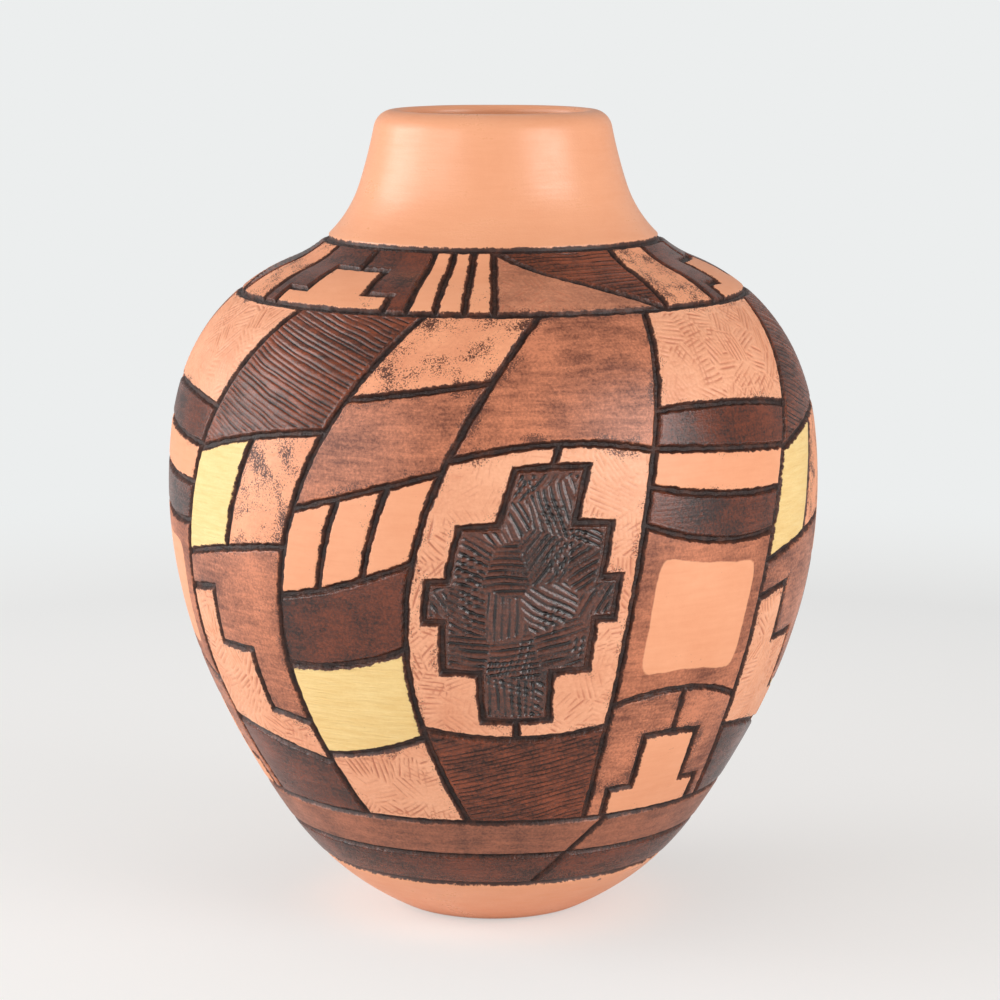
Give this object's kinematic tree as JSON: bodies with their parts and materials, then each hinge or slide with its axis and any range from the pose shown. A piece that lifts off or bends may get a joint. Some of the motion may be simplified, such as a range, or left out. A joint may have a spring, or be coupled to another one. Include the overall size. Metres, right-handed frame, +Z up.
{
  "type": "pottery jar",
  "caption": "Coil-built terracotta jar with a flared shoulder, short neck and rounded lip, carved round in grooves and stained fields, to stand on a table and hold dry things or be looked at.",
  "frame": {"origin": "centre of the flat foot, on the table", "axes": "+Z up along the jar's axis, -Y towards the front of the jar"},
  "size_m": [0.2274, 0.2274, 0.2799],
  "materials": {
    "polished_clay": "terracotta clay, stone polished to a soft sheen",
    "carved_groove": "cut clay of the groove floors, stained dark brown",
    "hatched_clay": "scraped terracotta with short cut strokes in patches",
    "stippled_clay": "terracotta dabbed with dark specks",
    "brown_stain": "translucent brown slip, brushed on and mottled",
    "dark_stain": "dark red-brown slip, satin",
    "combed_stain": "dark slip with parallel cut lines",
    "glossy_hatching": "very dark brown, cross hatched and burnished to a shine",
    "yellow_slip": "pale yellow slip with brush streaks"
  },
  "bodies": {
    "root": {"puki_base": "polished_clay", "lower_course": "carved_groove", "belly_course": "carved_groove", "upper_course": "carved_groove", "shoulder_course": "carved_groove", "neck_course": "polished_clay", "rim_coil": "polished_clay", "lower_stripe": "dark_stain", "upper_stripe": "brown_stain", "plain_fields": "polished_clay", "hatched_fields": "hatched_clay", "stippled_fields": "stippled_clay", "brown_fields": "brown_stain", "dark_fields": "dark_stain", "combed_fields": "combed_stain", "glossy_fields": "glossy_hatching", "yellow_fields": "yellow_slip", "border_plain": "polished_clay", "border_dark": "dark_stain", "border_hatched": "hatched_clay", "border_combed": "combed_stain", "border_stippled": "stippled_clay"}
  },
  "joints": []
}
